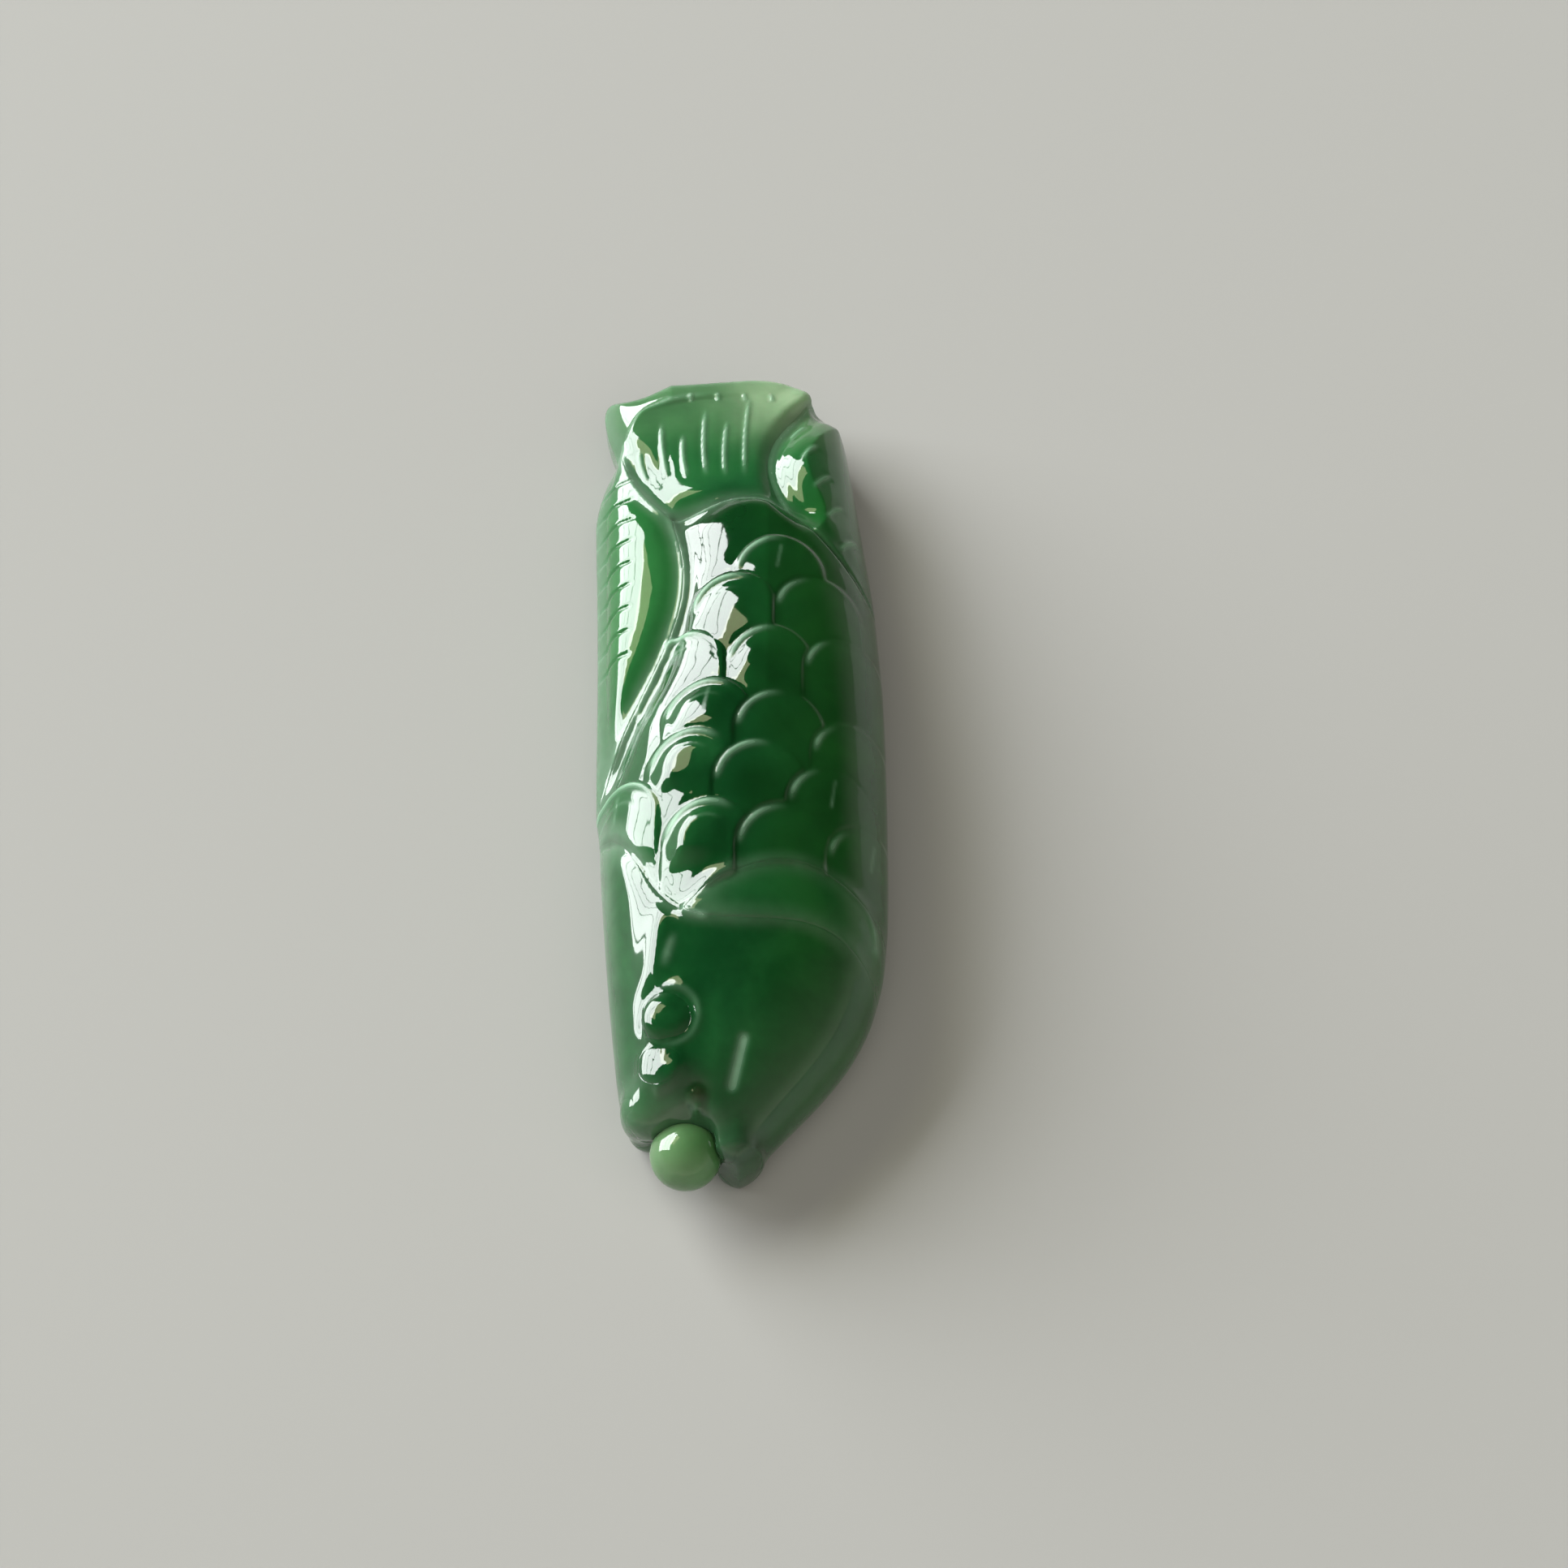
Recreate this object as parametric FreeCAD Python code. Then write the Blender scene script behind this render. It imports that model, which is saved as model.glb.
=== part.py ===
"""A carved jade fish that holds a pearl in its mouth and lies on its flat back.

It is one stone, carved as a carp in high relief.  The frame has +Z up, the flat back on
Z = 0, the head towards -Y and the tail towards +Y.  The fish's back, with the dorsal fin, is
on the -X side and its belly on the +X side.  The origin is on the flat back, under the middle
of the stone's length.  All lengths are in millimetres and all angles in degrees.

The stone is modelled as its carved parts.  Each is a crown (a domed blank) trimmed by a plan
outline, and neighbours share the carved line between them, so that they meet face to face.
Engraved lines are grooves of one depth that follow the crown.
"""

import FreeCAD
import Part
import math
import os

Vector = FreeCAD.Vector
UP = Vector(0, 0, 1)

# ---- Driving dimensions ----
LENGTH = 38.5  # over the tail fan and the pearl
HEIGHT = 6.8  # from the flat back to the top of the crown
GIRDLE = 1.5  # height of the stone's widest line
BEVEL = 0.6  # how far the flat back lies inside the girdle
FULLNESS = 2.3  # superellipse power of a cross-section: 2 is an ellipse, more is boxier
FIN_FULLNESS = 3.4  # the same for the dorsal fin, which is flatter with a rounder shoulder
ARCH_POINTS = 13  # points that shape the arch of one cross-section
GILL_RISE = 0.15  # how far the gill cover stands above the body's crown

PEARL_RADIUS = 1.42
PEARL_CENTRE = Vector(-1.95, PEARL_RADIUS - LENGTH / 2, 2.4)
EYE_RADIUS = 0.8
EYE_AT = (-2.65, -13.1)
NOSTRIL_RADIUS = 0.42
NOSTRIL_AT = (-2.85, -14.9)
BEAD_SUNK = 0.45  # how deep a bead's centre lies under the crown, as a share of its radius
DRILL_RADIUS = 0.32  # the blind hole that opens the corner of the mouth
DRILL_AT = (-1.45, -16.05)
DRILL_FLOOR = 2.2  # height of the hole's floor above the flat back
LIP_HALF_WIDTH = 0.78
LIP_HALF_HEIGHT = 1.45
UPPER_LIP = Vector(-3.75, -16.2, 2.2)
LOWER_LIP = Vector(0.15, -18.15, 1.9)

LINE_WIDTH = 0.18  # of an engraved line
LINE_DEPTH = 0.18

TALL = 12.0  # height of the plan cutters, which is more than the stone's
SAWN = 0.5  # how far the blanks reach below the flat back before it is sawn off
OUT = 9.0  # where the plan cutters close, which is outside the stone's sides

# ---- The body's plan and profile ----
MOUTH_Y = -19.2  # the body's blank runs from here
TAIL_Y = 17.0  # to here
WIDEST_Y = -1.0  # where the belly is widest and the crown is highest
BACK_WIDEST_Y = 9.0  # where the fish's back reaches furthest to the left
BACK_REACH = 6.25  # of the left edge, where it is furthest
BELLY_REACH = 6.25  # of the right edge, where it is furthest
BACK_DRAWN_IN = 2.05  # how much nearer the middle the left edge is at the mouth
BELLY_DRAWN_IN = 1.75  # how much nearer the middle the right edge is at the tail
JAW_DRAWN_IN = 5.75  # the same at the mouth
JAW_POWER = 2.9  # how late the jaw turns in
MOUTH_HEIGHT = 2.6
BROW_POWER = 0.625  # how blunt the profile is from the brow to the mouth
TAIL_FALL = 2.2  # from the top of the crown to the end of the body at the tail

# ---- The other blanks ----
FIN_Y = (-5.0, 17.0)
FIN_REACH = 6.0
FIN_FLARE = 0.7  # how much further out the fin reaches at the tail
FIN_TOP = 5.6
FIN_TOP_Y = 6.5
FIN_FALL = 0.0137  # of the fin's top, for each square millimetre from its highest place
FAN_Y = (10.0, 20.0)
FAN_REACH = (7.2, 9.8)
FAN_HEIGHT = (5.5, 3.7)
LOBE_Y = (6.0, 18.6)
LOBE_INNER = (-6.0, -1.8)
LOBE_OUTER = (6.1, 4.4)
LOBE_HEIGHT = (6.6, 4.7)
PAST_BELLY = 6.4  # where the fan's blank ends, which is past the belly
FIN_INNER = 3.0  # where the fin's blank ends, which is past the fin's carved line

# ---- Corners where carved lines meet, in plan ----
NOTCH = (-5.4, 15.5)  # between the dorsal fin and the tail
TAIL_ROOT = (-3.0, 10.75)  # where fin, tail and body meet
LOBE_ROOT = (2.0, 11.0)  # where the tail's fan and lobe meet the body
LOBE_TIP = (3.2, 18.2)
LOBE_END = (6.2, 6.5)
FAN_CORNER = (-6.3, 19.1)
FIN_END = (-6.3, -4.5)
FIN_SHOULDER = (-6.6, 11.5)
NAPE_END = (-6.6, -3.5)
GILL_ROOT = (-2.1, -8.8)  # the corner at the top of the gill slit
GILL_OUTER_END = (6.6, -10.0)
GILL_INNER_END = (6.6, -13.0)
JAW_TIP = (0.2, -18.7)
SNOUT = (-4.0, -16.9)
MOUTH_RADIUS = 1.25  # of the bite that the mouth takes round the pearl
MOUTH_TURNS = (0, 45, 90, 125)  # where the bite's curve is held
LINE_POINTS = 9  # points that shape one carved line

# ---- Engraved lines, in plan ----
# A scale's free edge faces the tail: (centre x, centre y, radius, first angle, last angle)
SCALES = [
    (1.7, 7.5, 1.9, 15, 165),
    (-0.3, 5.3, 1.8, 18, 165),
    (3.4, 5.2, 1.9, 15, 162),
    (-2.4, 2.7, 1.8, 15, 95),
    (1.3, 2.6, 1.8, 20, 162),
    (4.7, 2.3, 1.9, 65, 165),
    (-1.3, -0.1, 1.8, 30, 160),
    (1.7, -0.9, 1.85, 25, 160),
    (4.9, -1.9, 1.9, 70, 162),
    (-1.9, -2.6, 1.8, 38, 160),
    (0.9, -3.4, 1.9, 15, 160),
    (-1.2, -6.0, 1.85, 42, 160),
    (1.9, -6.3, 1.95, 32, 158),
    (5.5, -6.5, 1.85, 98, 158),
]
RAY_COUNT = 6
RAY_FOOT = ((-4.0, 13.0), (0.2, 12.8))  # the first and the last ray's lower end
RAY_HEAD = ((-4.5, 15.0), (0.4, 17.0))  # and their upper end
RAY_LENGTHENING = 1.2  # how much further every second ray runs up the fan
LOBE_RAY_COUNT = 3
LOBE_RAY_FOOT = ((3.0, 13.3), (3.8, 10.8))
LOBE_RAY_RUN = (0.8, 1.1)  # from a lobe ray's foot to its end
CHEEK_LINES = [((0.4, -13.8), (-0.2, -16.2)), ((-2.4, -9.6), (-2.9, -11.2))]


# ---- Plan shapes and blanks ----
def flat(points):
    return [Vector(x, y, 0) for x, y in points]


def spline(points):
    """An edge through plan points, in order."""
    curve = Part.BSplineCurve()
    curve.interpolate(flat(points))
    return curve.toShape()


def between(ends, share):
    """The value, or the plan point, at a share of the way between two ends."""
    first, last = ends
    if isinstance(first, tuple):
        return tuple(a + (b - a) * share for a, b in zip(first, last))
    return first + (last - first) * share


def bowed(start, end, sag, peak=0.5, power=1.0):
    """Points on a line that bows sag mm to the left of its direction, most at the share peak of its way.
    A higher power draws the bow together."""
    run = (end[0] - start[0], end[1] - start[1])
    length = math.hypot(*run)
    left = (-run[1] / length, run[0] / length)
    points = [start]
    for i in range(1, LINE_POINTS - 1):
        share = i / (LINE_POINTS - 1)
        turn = math.pi * share ** (math.log(0.5) / math.log(peak))
        out = sag * math.sin(turn) ** power
        x, y = between((start, end), share)
        points.append((x + left[0] * out, y + left[1] * out))
    return points + [end]


def straight(points):
    """Straight edges through plan points, in order."""
    corners = flat(points)
    return [Part.makeLine(a, b) for a, b in zip(corners, corners[1:])]


def prism(curved, outside=()):
    """A tall prism that stands on the flat back, on a ring of shared carved lines that is closed outside
    the stone."""
    edges = [spline(points) for points in curved]
    for points in outside:
        edges += straight(points)
    return Part.Face(Part.Wire(Part.__sortEdges__(edges))).extrude(UP * TALL)


def section(y, left, right, height, fullness):
    """The blank's cross-section at y: two bevels that run on below the flat back, and the arch of the
    crown."""
    middle = (left + right) / 2
    half = (right - left) / 2
    arch = []
    for i in range(ARCH_POINTS):
        turn = math.pi * i / (ARCH_POINTS - 1)
        across = math.copysign(abs(math.cos(turn)) ** (2 / fullness), math.cos(turn))
        up = max(0.0, math.sin(turn)) ** (2 / fullness)
        arch.append(Vector(middle + half * across, y, GIRDLE + (height - GIRDLE) * up))
    curve = Part.BSplineCurve()
    curve.interpolate(arch)
    inset = BEVEL * (1 + SAWN / GIRDLE)
    below_left = Vector(left + inset, y, -SAWN)
    below_right = Vector(right - inset, y, -SAWN)
    return Part.Wire([
        Part.makeLine(below_left, below_right),
        Part.makeLine(below_right, arch[0]),
        curve.toShape(),
        Part.makeLine(arch[-1], below_left),
    ])


def crown(stations, rise=0.0, fullness=FULLNESS):
    """A domed blank through cross-sections, with its crown raised by rise."""
    sections = [section(y, left, right, top + rise, fullness) for y, left, right, top in stations]
    return Part.makeLoft(sections, True, False)


def top_of(solid, at):
    """Height of a solid's upper surface above a plan point."""
    plumb = Part.makeLine(Vector(*at, GIRDLE), Vector(*at, TALL))
    return solid.common(plumb).BoundBox.ZMax


# ---- Cross-sections along the stone: (y, left edge, right edge, crown height) ----
def even(ends, count):
    return [between(ends, i / (count - 1)) for i in range(count)]


def body_station(y):
    to_mouth = max(0.0, WIDEST_Y - y) / (WIDEST_Y - MOUTH_Y)
    to_tail = max(0.0, y - WIDEST_Y) / (TAIL_Y - WIDEST_Y)
    along_back = (BACK_WIDEST_Y - y) / (BACK_WIDEST_Y - MOUTH_Y)
    jaw = to_mouth ** JAW_POWER
    left = BACK_DRAWN_IN * along_back**2 - BACK_REACH
    right = BELLY_REACH - BELLY_DRAWN_IN * to_tail**2 - JAW_DRAWN_IN * jaw * jaw * (3 - 2 * jaw)
    brow = (1 - to_mouth**2) ** BROW_POWER
    return y, left, right, MOUTH_HEIGHT + (HEIGHT - MOUTH_HEIGHT) * brow - TAIL_FALL * to_tail**2


def fin_station(y):
    to_tail = (y - FIN_Y[0]) / (FIN_Y[1] - FIN_Y[0])
    return y, -FIN_REACH - FIN_FLARE * to_tail**2, FIN_INNER, FIN_TOP - FIN_FALL * (y - FIN_TOP_Y) ** 2


BODY = [body_station(y) for y in even((MOUTH_Y, TAIL_Y), 15)]
FIN = [fin_station(y) for y in even(FIN_Y, 7)]
FAN = [(y, -reach, PAST_BELLY, top) for y, reach, top in zip(FAN_Y, FAN_REACH, FAN_HEIGHT)]
LOBE = list(zip(LOBE_Y, LOBE_INNER, LOBE_OUTER, LOBE_HEIGHT))


# ---- Carved lines that part the stone, in plan ----
def mouth():
    """From the jaw's tip, in a round bite behind the pearl, to the snout."""
    bite = []
    for degrees in MOUTH_TURNS:
        turn = math.radians(degrees)
        across, along = MOUTH_RADIUS * math.cos(turn), MOUTH_RADIUS * math.sin(turn)
        bite.append((PEARL_CENTRE.x + across, PEARL_CENTRE.y + along))
    return [JAW_TIP, *bite, SNOUT]


FIN_SIDE = bowed(NOTCH, FIN_SHOULDER, -0.25, 0.35)
FIN_TO_FAN = bowed(NOTCH, TAIL_ROOT, -0.45)
FIN_TO_BODY = bowed(TAIL_ROOT, FIN_END, 1.5, 0.3, 2.0)
TAIL_LINE = bowed(TAIL_ROOT, LOBE_ROOT, 0.75, 0.6)
FAN_SIDE = bowed(NOTCH, FAN_CORNER, 0.2)
FAN_EDGE = bowed(FAN_CORNER, LOBE_TIP, 0.92, 0.8, 0.8)
LOBE_EDGE = bowed(LOBE_TIP, LOBE_ROOT, -1.3, 0.55)
LOBE_SIDE = bowed(LOBE_TIP, LOBE_END, 0.95, 0.25, 0.8)
LOBE_FOOT = bowed(LOBE_ROOT, LOBE_END, 0.1)
NAPE = [NAPE_END, (-4.4, -5.4), (-3.2, -7.6), GILL_ROOT]
GILL_OUTER = bowed(GILL_ROOT, GILL_OUTER_END, 2.4, 0.5, 0.8)
GILL_INNER = bowed(GILL_ROOT, GILL_INNER_END, 1.85, 0.6, 1.3)
MOUTH = mouth()


# ---- Engraving ----
def line_wall(start, end):
    """A thin upright wall along a straight engraved line."""
    a, b = flat([start, end])
    along = b - a
    aside = UP.cross(along).normalize() * LINE_WIDTH
    face = Part.Face(Part.makePolygon([a, b, b + aside, a + aside, a]))
    return face.extrude(UP * TALL)


def scale_wall(x, y, radius, first, last):
    """A thin upright wall along the free edge of one scale."""
    centre = Vector(x, y, 0)
    outer = Part.makeCylinder(radius, TALL, centre, UP, last - first)
    inner = Part.makeCylinder(radius - LINE_WIDTH, TALL, centre, UP, last - first)
    wall = outer.cut(inner)
    wall.rotate(centre, UP, first)
    return wall


def ray_lines(count, feet, heads):
    """Straight engraved lines, spread evenly. feet is the first and the last line's lower end, and heads
    gives an upper end from a line's number and its share of the spread."""
    for i in range(count):
        share = i / (count - 1)
        yield between(feet, share), heads(i, share)


def fan_rays():
    def head(i, share):
        x, y = between(RAY_HEAD, share)
        return x, y + RAY_LENGTHENING * (i % 2)

    return ray_lines(RAY_COUNT, RAY_FOOT, head)


def lobe_rays():
    def head(i, share):
        x, y = between(LOBE_RAY_FOOT, share)
        return x + LOBE_RAY_RUN[0], y + LOBE_RAY_RUN[1]

    return ray_lines(LOBE_RAY_COUNT, LOBE_RAY_FOOT, head)


def engrave(solid, stations, walls):
    """Cuts upright walls into a solid, to LINE_DEPTH under the crown of its stations."""
    grooves = Part.makeCompound(walls).cut(crown(stations, -LINE_DEPTH))
    return solid.cut(grooves)


# ---- The carved parts ----
def body():
    left_side = [FIN_TO_BODY[-1], (-OUT, FIN_TO_BODY[-1][1]), (-OUT, NAPE[0][1]), NAPE[0]]
    right_side = [GILL_OUTER[-1], (OUT, GILL_OUTER[-1][1]), (OUT, LOBE_END[1]), LOBE_END]
    outline = prism([FIN_TO_BODY, TAIL_LINE, LOBE_FOOT, NAPE, GILL_OUTER], [left_side, right_side])
    return engrave(crown(BODY).common(outline), BODY, [scale_wall(*scale) for scale in SCALES])


def dorsal_fin():
    side = [FIN_SIDE[-1], (-OUT, FIN_SIDE[-1][1]), (-OUT, FIN_TO_BODY[-1][1]), FIN_TO_BODY[-1]]
    return crown(FIN, fullness=FIN_FULLNESS).common(prism([FIN_SIDE, FIN_TO_FAN, FIN_TO_BODY], [side]))


def tail_fan():
    fan = crown(FAN).common(prism([FIN_TO_FAN, TAIL_LINE, FAN_SIDE, FAN_EDGE, LOBE_EDGE]))
    return engrave(fan, FAN, [line_wall(*ray) for ray in fan_rays()])


def tail_lobe():
    lobe = crown(LOBE).common(prism([LOBE_EDGE, LOBE_SIDE, LOBE_FOOT]))
    return engrave(lobe, LOBE, [line_wall(*ray) for ray in lobe_rays()])


def gill_cover():
    return crown(BODY, GILL_RISE).common(prism([GILL_OUTER, GILL_INNER], [[GILL_OUTER[-1], GILL_INNER[-1]]]))


def pearl():
    return Part.makeSphere(PEARL_RADIUS, PEARL_CENTRE)


def bead(solid, at, radius):
    """A ball let into a solid's upper surface."""
    return Part.makeSphere(radius, Vector(*at, top_of(solid, at) - BEAD_SUNK * radius))


def lip(centre):
    """The rounded pad at the end of a jaw."""
    stretch = FreeCAD.Matrix()
    stretch.scale(LIP_HALF_WIDTH, LIP_HALF_WIDTH, LIP_HALF_HEIGHT)
    pad = Part.makeSphere(1.0).transformGeometry(stretch)
    pad.translate(centre)
    return pad


def head_blank():
    right_side = [GILL_INNER[-1], (OUT, GILL_INNER[-1][1]), (OUT, MOUTH[0][1]), MOUTH[0]]
    left_side = [MOUTH[-1], (-OUT, MOUTH[-1][1]), (-OUT, NAPE[0][1]), NAPE[0]]
    return crown(BODY).common(prism([NAPE, GILL_INNER, MOUTH], [right_side, left_side]))


def head(blank, let_in):
    """The head, with pockets for the pieces let into it and the hole at the mouth's corner."""
    drill = Part.makeCylinder(DRILL_RADIUS, TALL, Vector(*DRILL_AT, DRILL_FLOOR))
    lined = engrave(blank, BODY, [line_wall(*line) for line in CHEEK_LINES])
    for piece in [*let_in, drill]:
        lined = lined.cut(piece)
    return lined


def main():
    blank = head_blank()
    nodes = {
        "pearl": pearl(),
        "eye": bead(blank, EYE_AT, EYE_RADIUS),
        "nostril": bead(blank, NOSTRIL_AT, NOSTRIL_RADIUS),
        "upper_lip": lip(UPPER_LIP),
        "lower_lip": lip(LOWER_LIP),
    }
    nodes["head"] = head(blank, list(nodes.values()))
    for part in (gill_cover, body, dorsal_fin, tail_fan, tail_lobe):
        nodes[part.__name__] = part()
    os.makedirs("parts", exist_ok=True)
    for name, shape in nodes.items():
        shape.exportStep(f"parts/{name}.step")


main()
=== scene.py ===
import math

import bpy
import numpy as np
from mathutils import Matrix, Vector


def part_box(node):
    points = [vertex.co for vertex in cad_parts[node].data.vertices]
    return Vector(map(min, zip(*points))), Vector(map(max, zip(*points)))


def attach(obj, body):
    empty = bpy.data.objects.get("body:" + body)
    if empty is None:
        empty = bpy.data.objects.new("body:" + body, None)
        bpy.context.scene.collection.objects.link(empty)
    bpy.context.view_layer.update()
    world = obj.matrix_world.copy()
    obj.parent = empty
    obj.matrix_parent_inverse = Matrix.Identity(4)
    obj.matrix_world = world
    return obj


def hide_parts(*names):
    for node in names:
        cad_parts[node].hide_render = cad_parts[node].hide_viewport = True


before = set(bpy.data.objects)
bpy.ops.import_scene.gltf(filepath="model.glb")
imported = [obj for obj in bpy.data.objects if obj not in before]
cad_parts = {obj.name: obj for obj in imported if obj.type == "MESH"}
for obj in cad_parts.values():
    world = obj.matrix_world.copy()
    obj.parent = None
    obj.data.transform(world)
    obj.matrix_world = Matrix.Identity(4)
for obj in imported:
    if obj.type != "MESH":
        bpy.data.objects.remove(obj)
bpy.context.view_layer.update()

import openvdb as vdb
from mathutils import Vector

NODE_BOXES = [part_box(name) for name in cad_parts]

# ---------------------------------------------------------------- the grid the stone is carved on
MM = 0.001
VOXEL = 0.08  # mm
BLUR_VOXEL = 0.16  # mm: the CAD surfaces are rounded on this coarser grid
MARGIN = 1.0  # mm of empty grid round the stone
ROUNDING = 0.32  # mm: how much the wheel and the polish have rounded every CAD edge
SIDE_ROUNDING = 0.4  # mm: the same down the stone's sides
CREASE = 0.08  # mm: the deepest line left where two carved parts meet
WAVE_HEIGHT = 0.025  # mm, of the polished surface's gentle unevenness
WAVE_LENGTH = 2.2  # mm
WAVE_SEED = 3
LOGISTIC = 1.702  # slope at which the logistic curve follows the normal distribution's
LOW = np.min([low for low, high in NODE_BOXES], axis=0) / MM
HIGH = np.max([high for low, high in NODE_BOXES], axis=0) / MM
ORIGIN = np.floor((LOW - MARGIN) / BLUR_VOXEL) * BLUR_VOXEL
BLUR_SHAPE = tuple(int(n) for n in np.ceil((HIGH + MARGIN - ORIGIN) / BLUR_VOXEL) + 1)
SHAPE = tuple(int((n - 1) * round(BLUR_VOXEL / VOXEL)) + 1 for n in BLUR_SHAPE)
AXES = [ORIGIN[k] + VOXEL * np.arange(SHAPE[k]) for k in range(3)]
X, Y = (a.astype(np.float32) for a in np.meshgrid(AXES[0], AXES[1], indexing="ij"))
Z = AXES[2].astype(np.float32)
BAND = 12  # coarse voxels either side of a surface


def gaussian(array, sigma):
    """Blurs along every axis; sigma is in samples."""
    reach = int(math.ceil(3 * sigma))
    kernel = np.exp(-0.5 * (np.arange(-reach, reach + 1) / sigma) ** 2)
    kernel = (kernel / kernel.sum()).astype(np.float32)
    for axis in range(array.ndim):
        edges = [(reach, reach) if a == axis else (0, 0) for a in range(array.ndim)]
        padded = np.pad(array, edges, mode="edge")
        out = np.zeros_like(array)
        for i, weight in enumerate(kernel):
            window = [slice(None)] * array.ndim
            window[axis] = slice(i, i + array.shape[axis])
            out += weight * padded[tuple(window)]
        array = out
    return array


def refine(array):
    """The coarse field on the fine grid, by Catmull-Rom weights along each axis."""
    ratio = int(round(BLUR_VOXEL / VOXEL))
    for axis in range(3):
        count = array.shape[axis]
        fine = np.arange((count - 1) * ratio + 1) / ratio
        base = np.minimum(fine.astype(int), count - 2)
        t = (fine - base).astype(np.float32)
        weights = [
            ((-0.5 * t + 1.0) * t - 0.5) * t,
            (1.5 * t - 2.5) * t * t + 1.0,
            ((-1.5 * t + 2.0) * t + 0.5) * t,
            (0.5 * t - 0.5) * t * t,
        ]
        shape = [1, 1, 1]
        shape[axis] = len(fine)
        total = 0
        for k, w in enumerate(weights):
            rows = np.clip(base + k - 1, 0, count - 1)
            total = total + np.take(array, rows, axis=axis) * w.reshape(shape)
        array = total
    return array.astype(np.float32)


def measured(points, **faces):
    """The signed distance in mm to a closed mesh, on the coarse grid. The points are in mm from ORIGIN."""
    grid = vdb.FloatGrid.createLevelSetFromPolygons(
        points.astype(np.float32),
        transform=vdb.createLinearTransform(voxelSize=BLUR_VOXEL),
        halfWidth=float(BAND),
        **faces,
    )
    array = np.full(BLUR_SHAPE, BAND * BLUR_VOXEL, np.float32)
    grid.copyToArray(array)
    return array


def node_distance(name):
    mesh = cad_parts[name].data
    points = np.empty(len(mesh.vertices) * 3, np.float32)
    mesh.vertices.foreach_get("co", points)
    mesh.calc_loop_triangles()
    corners = np.empty(len(mesh.loop_triangles) * 3, np.int32)
    mesh.loop_triangles.foreach_get("vertices", corners)
    return measured(points.reshape(-1, 3) / MM - ORIGIN, triangles=corners.reshape(-1, 3).astype(np.uint32))


def surface_of(field):
    """The points, in samples, and the four-sided faces of a field's zero surface."""
    grid = vdb.FloatGrid()
    grid.background = 1.0
    grid.copyFromArray(np.clip(field, -1.0, 1.0).astype(np.float32), tolerance=1e-6)
    grid.transform = vdb.createLinearTransform(voxelSize=1.0)
    return grid.convertToQuads(isovalue=0.0)


def seamless(distances):
    """The distance to all the nodes as one rounded solid, with no wall or crease where they meet."""
    filled = np.clip(0.5 - np.minimum.reduce(distances) / BLUR_VOXEL, 0, 1)
    filled = np.clip(gaussian(filled, SIDE_ROUNDING / BLUR_VOXEL), 0.02, 0.98)
    points, quads = surface_of(SIDE_ROUNDING / LOGISTIC * np.log((1 - filled) / filled))
    return refine(gaussian(measured(points * BLUR_VOXEL, quads=quads), 0.6))


def smooth_min(a, b, k):
    """The lesser of two fields, with a fillet k mm wide where they cross."""
    h = np.maximum(k - np.abs(a - b), 0) / k
    return np.minimum(a, b) - h * h * k * 0.25


def step(low, high, value):
    """0 below low, 1 above high, and a smooth rise between."""
    t = np.clip((value - low) / (high - low), 0, 1)
    return t * t * (3 - 2 * t)


def bell(value, middle, width):
    return np.exp(-((value - middle) / width) ** 2)


def waves(scale, seed):
    """Smooth random ripples over the grid, about -1 to 1, scale mm apart."""
    rng = np.random.default_rng(seed)
    small = rng.standard_normal([int(SHAPE[k] * VOXEL / scale) + 4 for k in range(3)]).astype(np.float32)
    small = gaussian(small, 0.8)
    small /= np.abs(small).max()
    for k in range(3):
        at = np.arange(SHAPE[k]) * VOXEL / scale + 1
        low = at.astype(int)
        t = (at - low).astype(np.float32)
        t = t * t * (3 - 2 * t)
        shape = [1, 1, 1]
        shape[k] = len(t)
        t = t.reshape(shape)
        small = np.take(small, low, axis=k) * (1 - t) + np.take(small, low + 1, axis=k) * t
    return small


# ---------------------------------------------------------------- plan drawing
def curve(points, per_span=8):
    """A smooth line through plan points."""
    p = np.array([points[0], *points, points[-1]], float)
    out = []
    for i in range(1, len(p) - 2):
        a, b, c, d = p[i - 1:i + 3]
        for t in np.arange(per_span) / per_span:
            bend = (2 * a - 5 * b + 4 * c - d) * t**2 + (3 * b - a - 3 * c + d) * t**3
            out.append(0.5 * (2 * b + (c - a) * t + bend))
    out.append(p[-2])
    return np.array(out)


def between(ends, share):
    """The plan point at a share of the way between two ends."""
    return tuple(a + (b - a) * share for a, b in zip(*ends))


def bowed(start, end, sag, peak=0.5, power=1.0):
    """Points on a line that bows sag mm to the left of its direction, most at the share peak of its way.
    A higher power draws the bow together."""
    run = (end[0] - start[0], end[1] - start[1])
    length = math.hypot(*run)
    left = (-run[1] / length, run[0] / length)
    points = [start]
    for i in range(1, LINE_POINTS - 1):
        share = i / (LINE_POINTS - 1)
        turn = math.pi * share ** (math.log(0.5) / math.log(peak))
        out = sag * math.sin(turn) ** power
        x, y = between((start, end), share)
        points.append((x + left[0] * out, y + left[1] * out))
    return points + [end]


def moved(point, x, y):
    return point[0] + x, point[1] + y


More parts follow.
